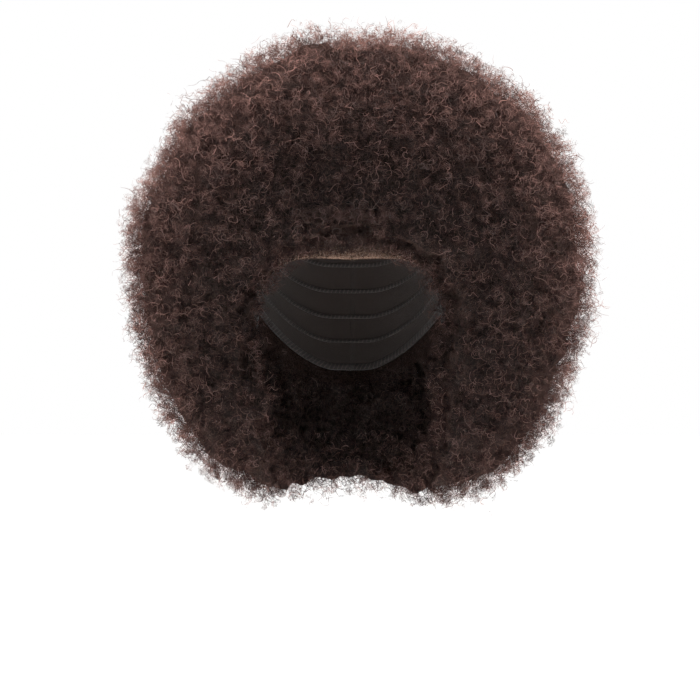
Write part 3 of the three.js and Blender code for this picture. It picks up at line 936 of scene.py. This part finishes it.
class WIG_OT_flyaways(bpy.types.Operator):
    """Adds the loose hairs that soften the outline"""

    bl_idname = "wig.flyaways"
    bl_label = "Flyaway hairs"

    def execute(self, context):
        shape, hair = context.scene.wig_shape, context.scene.wig_hair
        rng = np.random.default_rng(hair.seed + 1)
        places, normals, shares = rooted(hair.flyaway_count, shape, rng, least=0.55)
        count = len(places)
        tops = hair.flyaway_reach * shares * (0.42 + 0.58 * rng.beta(1.6, 3.0, count))
        tops = tops * (1 + 0.22 * noise_at(places, 0.018, 41) + 0.16 * noise_at(places, 0.008, 43))
        length = tops * rng.uniform(0.35, 0.75, count)
        axes = unit(normals + flow_at(places, 0.011, 42) * 0.5 + unit(rng.normal(size=(count, 3))) * 0.8)
        sizes = {
            "length": length,
            "radius": rng.uniform(0.0008, 0.0026, count),
            "turns": rng.uniform(0.6, 1.7, count),
            "sway": rng.uniform(0.0004, 0.0024, count),
        }
        roots = places + normals * (tops - length * (axes * normals).sum(axis=1))[:, None]
        paths = curl_paths(roots, axes, sizes, 9, rng)
        facing = unit(rng.normal(size=(count, 3)))
        widths = hair.flyaway_width * rng.uniform(0.7, 1.4, count)
        # The loose hairs are lighter and redden more at the tips: partly painted backlight at the rim.
        tones = np.clip(rng.beta(2.0, 2.2, count) + 0.15, 0, 1)
        material = strand_paint(context.scene.wig_colours, "hair_flyaways", 0.85, 0.55)
        room = STRAY_SHARE * (cad_high - cad_low) + STRAY_LENGTH
        kept = ((paths > cad_low - room) & (paths < cad_high + room)).all(axis=(1, 2))
        paths, widths, facing, tones, places = (each[kept] for each in (paths, widths, facing, tones, places))
        front = places[:, 1] < shape.ball_middle[1]
        for name, own in (("flyaways_front", front), ("flyaways_back", ~front)):
            points, faces, uv = ribbons(paths[own], widths[own], facing[own], tones[own])
            new_piece(name, points, faces, material, uv)
        return {"FINISHED"}


# The cap and the lace


def shell(grid_inner, grid_outer, closed_columns):
    """A closed wall between two grids of points of the same shape, (row, column, xyz). Rows run up, and the
    columns either close on themselves or end in side walls. Returns the points and the faces."""
    rows, columns = grid_inner.shape[:2]
    points = np.concatenate([grid_inner.reshape(-1, 3), grid_outer.reshape(-1, 3)])
    cells = grid_faces(rows, columns, closed_columns)
    outer = cells + rows * columns
    columns_at = np.arange(columns if closed_columns else columns - 1)
    after = (columns_at + 1) % columns
    base, top = rows * columns, (rows - 1) * columns
    bottom_wall = np.stack([columns_at, base + columns_at, base + after, after], axis=-1)
    top_wall = np.stack([top + columns_at, top + after, base + top + after, base + top + columns_at], axis=-1)
    walls = [bottom_wall[:, ::-1], top_wall[:, ::-1]]
    if not closed_columns:
        rows_at = np.arange(rows - 1) * columns
        for column, flip in ((0, False), (columns - 1, True)):
            low, high = rows_at + column, rows_at + columns + column
            wall = np.stack([low, high, base + high, base + low], axis=-1)
            walls.append(wall[:, ::-1] if flip else wall)
    return points, np.concatenate([cells[:, ::-1], outer, *walls])


def swept(path, across, up, outline, closed):
    """An outline carried along a path: path + across * x + up * y for each of its corners (x, y). A closed
    path joins its end to its start. Returns the points, the faces and a UV of path length and girth."""
    points = path[:, None] + across[:, None] * outline[None, :, :1] + up[:, None] * outline[None, :, 1:]
    walked = np.concatenate([[0], np.cumsum(np.linalg.norm(np.diff(path, axis=0), axis=1))])
    girth = np.concatenate([[0], np.cumsum(np.linalg.norm(np.diff(outline, axis=0), axis=1))])
    uv = np.stack(np.broadcast_arrays(walked[:, None], girth[None, :]), axis=-1).reshape(-1, 2)
    return points.reshape(-1, 3), grid_faces(len(path), len(outline), True, closed), uv


def joined(parts):
    """Several sets of points, faces and UV places as one."""
    points, faces, uv = zip(*parts)
    starts = np.cumsum([0, *map(len, points[:-1])])
    shifted = [each + start for each, start in zip(faces, starts)]
    return np.concatenate(points), np.concatenate(shifted), np.concatenate(uv)


def turned_out(piece):
    """Turns a closed mesh's faces so that they look out."""
    build = bmesh.new()
    build.from_mesh(piece.data)
    bmesh.ops.remove_doubles(build, verts=build.verts, dist=1e-7)
    bmesh.ops.recalc_face_normals(build, faces=build.faces)
    build.to_mesh(piece.data)
    build.free()


def cap_edge_rise(azimuth, shape):
    """The cap's edge, which lies above the hairline by the height of the lace."""
    lace = np.where(np.abs(azimuth) < LACE_TURN, lace_height(azimuth), 0)
    return rise_at(hairline_drop(azimuth, shape) - lace, shape)


def band_on_skull(azimuths, rises, offset, shape):
    """A path on the head with its directions: along the surface upwards, and out from it."""
    path = skull_point(azimuths, rises, offset, shape)
    out = unit(skull_point(azimuths, rises, offset + 0.01, shape) - path)
    along = unit(np.gradient(path, axis=0))
    return path, unit(np.cross(out, along)), out


def cloth_uv(azimuth, height, shape):
    """A UV in metres for both sides of a shell: round the head, and the height."""
    uv = np.stack([np.radians(azimuth) * shape.head_breadth / 2, height], axis=-1)
    return np.concatenate([uv.reshape(-1, 2)] * 2)


class WIG_OT_cap(bpy.types.Operator):
    """Adds the net cap with its edge binding and the rows of weft inside it"""

    bl_idname = "wig.cap"
    bl_label = "Net cap"

    def execute(self, context):
        shape, colours = context.scene.wig_shape, context.scene.wig_colours
        net, band = net_paint(colours), band_paint(colours)
        azimuths = np.arange(-180, 180, 3.0)
        shares = np.linspace(0, 1, 30) ** 0.9
        lower = cap_edge_rise(azimuths, shape)
        rise = lower[None] + (np.pi / 2 - lower[None]) * shares[:, None]
        around = np.broadcast_to(azimuths, rise.shape)
        inner = skull_point(around, rise, 0.0, shape)
        outer = skull_point(around, rise, NET_THICKNESS, shape)
        points, faces = shell(inner, outer, True)
        uv = cloth_uv(around, rise * shape.crown_rise, shape)
        cap = new_piece("cap_net", points, faces, net, uv, "cloth")
        turned_out(cap)
        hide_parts("wig_cap")

        path, up, out = band_on_skull(azimuths, lower + BINDING_RISE, NET_THICKNESS / 2, shape)
        points, faces, uv = swept(path, up, out, BAND_OUTLINE * BINDING_HALVES, True)
        turned_out(new_piece("cap_binding", points, faces, band, uv, "cloth"))

        wefts = []
        azimuth = (np.linspace(-WEFT_END, WEFT_END, 84) + 360) % 360 - 180
        for share in np.linspace(0.12, 0.86, WEFT_ROWS):
            rise = cap_edge_rise(azimuth, shape) * (1 - share) + share * np.pi / 2
            path, up, out = band_on_skull(azimuth, rise, -0.0004, shape)
            wefts.append(swept(path, up, out, BAND_OUTLINE * WEFT_HALVES, False))
        points, faces, uv = joined(wefts)
        new_piece("cap_wefts", points, faces, band, uv, "cloth")
        return {"FINISHED"}


class WIG_OT_lace(bpy.types.Operator):
    """Adds the sheer lace at the hairline with its seam"""

    bl_idname = "wig.lace"
    bl_label = "Lace"

    def execute(self, context):
        shape, colours = context.scene.wig_shape, context.scene.wig_colours
        azimuths = np.linspace(-LACE_END, LACE_END, 125)
        low = hairline_drop(azimuths, shape)
        high = low - lace_height(azimuths) + 0.0003
        drops = low[None] + (high - low)[None] * np.linspace(0, 1, 22)[:, None]
        rise = rise_at(drops, shape)
        around = np.broadcast_to(azimuths, rise.shape)
        points, faces = shell(
            skull_point(around, rise, 0.0002, shape), skull_point(around, rise, 0.0006, shape), False)
        uv = cloth_uv(around, low[None] - drops, shape)
        lace = new_piece("lace_strip", points, faces, lace_paint(colours), uv, "cloth")
        turned_out(lace)
        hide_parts("lace_front")

        path, up, out = band_on_skull(azimuths, rise_at(high + 0.0012, shape), 0.0012, shape)
        points, faces, uv = swept(path, up, out, BAND_OUTLINE * WEFT_HALVES, False)
        new_piece("lace_seam", points, faces, band_paint(colours), uv, "cloth")
        return {"FINISHED"}


def lace_places(place, share, shape):
    """Points on the lace at degrees round and a share of its height, and the way out from the head there."""
    rise = rise_at(hairline_drop(place, shape) - lace_height(place) * share, shape)
    points = skull_point(place, rise, 0.001, shape)
    return points, unit(skull_point(place, rise, 0.02, shape) - points)


class WIG_OT_hairline(bpy.types.Operator):
    """Adds the fine hair over the lace, in a wedge that deepens upwards to the rim of the fringe"""

    bl_idname = "wig.hairline"
    bl_label = "Fine hair over the lace"

    def execute(self, context):
        self.tangles(context)
        self.baby_hairs(context)
        return {"FINISHED"}

    def tangles(self, context):
        """Small cards of fine hair from 30% to 80% of the lace's height."""
        shape, hair = context.scene.wig_shape, context.scene.wig_hair
        rng = np.random.default_rng(hair.seed + 4)
        count = hair.hairline_tangles
        place = rng.uniform(-LACE_END, LACE_END, count)
        share = 0.3 + 0.5 * rng.beta(2.0, 1.3, count)
        on_lace, out = lace_places(place, share, shape)
        height = 0.0025 + (wedge_depth(share) - 0.0025) * rng.random(count) ** 0.45
        faces_to = unit(out * 0.7 + unit(rng.normal(size=(count, 3))))
        centres = on_lace + out * height[:, None]
        points, faces = cards(centres, faces_to, rng.uniform(0.004, 0.009, count), rng)
        # Cards further from the lace take lighter rows: painted shade deep in the wedge of hair.
        row = height / 0.012 + rng.normal(size=count) * 0.5
        uv = tile_places(rng.integers(0, TILES, count), row)
        material = tangle_material(context.scene.wig_colours)
        new_piece("hairline_tangles", points, faces, material, uv)

    def baby_hairs(self, context):
        """Short fine curls over the whole height of the lace, most of them leaning upwards."""
        shape, hair = context.scene.wig_shape, context.scene.wig_hair
        rng = np.random.default_rng(hair.seed + 2)
        count = hair.baby_hairs
        place = rng.uniform(-60, 60, count)
        share = rng.beta(1.6, 1.4, count)
        roots, out = lace_places(place, share, shape)
        side = unit(np.cross(out, np.array([0, 0, 1.0])))
        upward = np.cross(side, out)
        lean = side * (rng.normal(size=(count, 1)) * 0.7)
        upward = upward * rng.uniform(-0.4, 1.0, (count, 1))
        axes = unit(upward + lean + out * rng.uniform(0.15, 0.8, (count, 1)))
        sizes = {
            "length": rng.uniform(0.004, 0.012, count),
            "radius": rng.uniform(0.0008, 0.0022, count),
            "turns": rng.uniform(0.4, 1.9, count),
            "sway": rng.uniform(0.0002, 0.0012, count),
        }
        height = 0.0015 + (wedge_depth(share) - 0.004) * rng.random(count) ** 0.5
        paths = curl_paths(roots + out * height[:, None], axes, sizes, 7, rng)
        facing = unit(out + rng.normal(size=(count, 3)) * 0.4)
        widths = hair.curl_width * rng.uniform(0.6, 1.0, count)
        # Hairs further from the lace are lighter: painted shade close to it.
        tones = rng.beta(1.5, 4, count) + height * 14
        points, faces, uv = ribbons(paths, widths, facing, tones)
        material = strand_paint(context.scene.wig_colours, "hair_baby", 0.15, 0.2)
        new_piece("baby_hairs", points, faces, material, uv)


class WIG_OT_stage(bpy.types.Operator):
    """Adds the floor, the lights and the camera"""

    bl_idname = "wig.stage"
    bl_label = "Stage"

    def execute(self, context):
        scene, stage = context.scene, context.scene.wig_stage
        ring = np.radians(np.arange(0, 360, 5.0))
        radii = np.array([0.0, 0.5, 1.0, 2.0, 4.0, 9.0])
        x = radii[:, None] * np.cos(ring)[None]
        y = radii[:, None] * np.sin(ring)[None]
        points = np.stack([x, y, np.full_like(x, -stage.floor_drop)], axis=-1).reshape(-1, 3)
        mesh = bpy.data.meshes.new("floor")
        mesh.from_pydata(points.tolist(), [], grid_faces(len(radii), len(ring), True).tolist())
        mesh.materials.append(floor_paint(scene.wig_colours))
        added("floor", mesh)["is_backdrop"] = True

        world = bpy.data.worlds.new("studio")
        world.use_nodes = True
        sky = world.node_tree.nodes["Background"]
        sky.inputs["Color"].default_value = (1.0, 1.0, 1.0, 1.0)
        sky.inputs["Strength"].default_value = 1.0
        scene.world = world

        lamps = (
            ("key", (0.15, -1.5, 1.8), 1.2, stage.key_power),
            ("rim_left", (-1.3, 1.2, 0.5), 0.8, stage.rim_power),
            ("rim_right", (1.3, 1.2, 0.4), 0.8, stage.rim_power),
            ("top", (0.1, 0.7, 1.6), 0.9, stage.top_power),
        )
        target = np.array([0.0, 0.0, -0.09])
        for name, place, size, power in lamps:
            light = bpy.data.lights.new(name, "AREA")
            light.shape = "DISK"
            light.size = size
            light.energy = power
            lamp = added(name, light)
            lamp.location = place
            lamp.rotation_mode = "QUATERNION"
            lamp.rotation_quaternion = Vector(target - np.array(place)).to_track_quat("-Z", "Y")

        view = bpy.data.cameras.new("camera")
        view.sensor_width = 36.0
        view.lens = 36.0 * stage.camera_distance / stage.view_width
        view.clip_start, view.clip_end = 0.05, 60.0
        camera = added("camera", view)
        camera.location = (0.0, -stage.camera_distance, stage.camera_height)
        camera.rotation_euler = (np.pi / 2, 0.0, 0.0)
        scene.camera = camera
        scene.view_settings.view_transform = "Standard"
        scene.cycles.transparent_max_bounces = 32
        return {"FINISHED"}


OPERATORS = (
    WIG_OT_stage, WIG_OT_hair_bed, WIG_OT_tangles, WIG_OT_curls, WIG_OT_flyaways, WIG_OT_cap, WIG_OT_lace,
    WIG_OT_hairline)
GROUPS = {"wig_shape": WigShape, "wig_hair": WigHair, "wig_colours": WigColours, "wig_stage": WigStage}


class WIG_PT_panel(bpy.types.Panel):
    """Lists the wig's pieces and its sizes"""

    bl_idname = "WIG_PT_panel"
    bl_label = "Afro wig"
    bl_space_type = "VIEW_3D"
    bl_region_type = "UI"
    bl_category = "Wig"

    def draw(self, context):
        for operator in OPERATORS:
            self.layout.operator(operator.bl_idname)
        for group in GROUPS:
            box = self.layout.box()
            settings = getattr(context.scene, group)
            for name in settings.__annotations__:
                box.prop(settings, name)


def register():
    for group in GROUPS.values():
        bpy.utils.register_class(group)
    for name, group in GROUPS.items():
        setattr(bpy.types.Scene, name, bpy.props.PointerProperty(type=group))
    for operator in OPERATORS:
        bpy.utils.register_class(operator)
    bpy.utils.register_class(WIG_PT_panel)


def unregister():
    bpy.utils.unregister_class(WIG_PT_panel)
    for operator in reversed(OPERATORS):
        bpy.utils.unregister_class(operator)
    for name, group in reversed(GROUPS.items()):
        delattr(bpy.types.Scene, name)
        bpy.utils.unregister_class(group)


def main():
    register()
    bpy.ops.wig.stage()
    bpy.ops.wig.hair_bed()
    bpy.ops.wig.tangles()
    bpy.ops.wig.curls()
    bpy.ops.wig.flyaways()
    bpy.ops.wig.cap()
    bpy.ops.wig.lace()
    bpy.ops.wig.hairline()


if __name__ == "__main__":
    main()
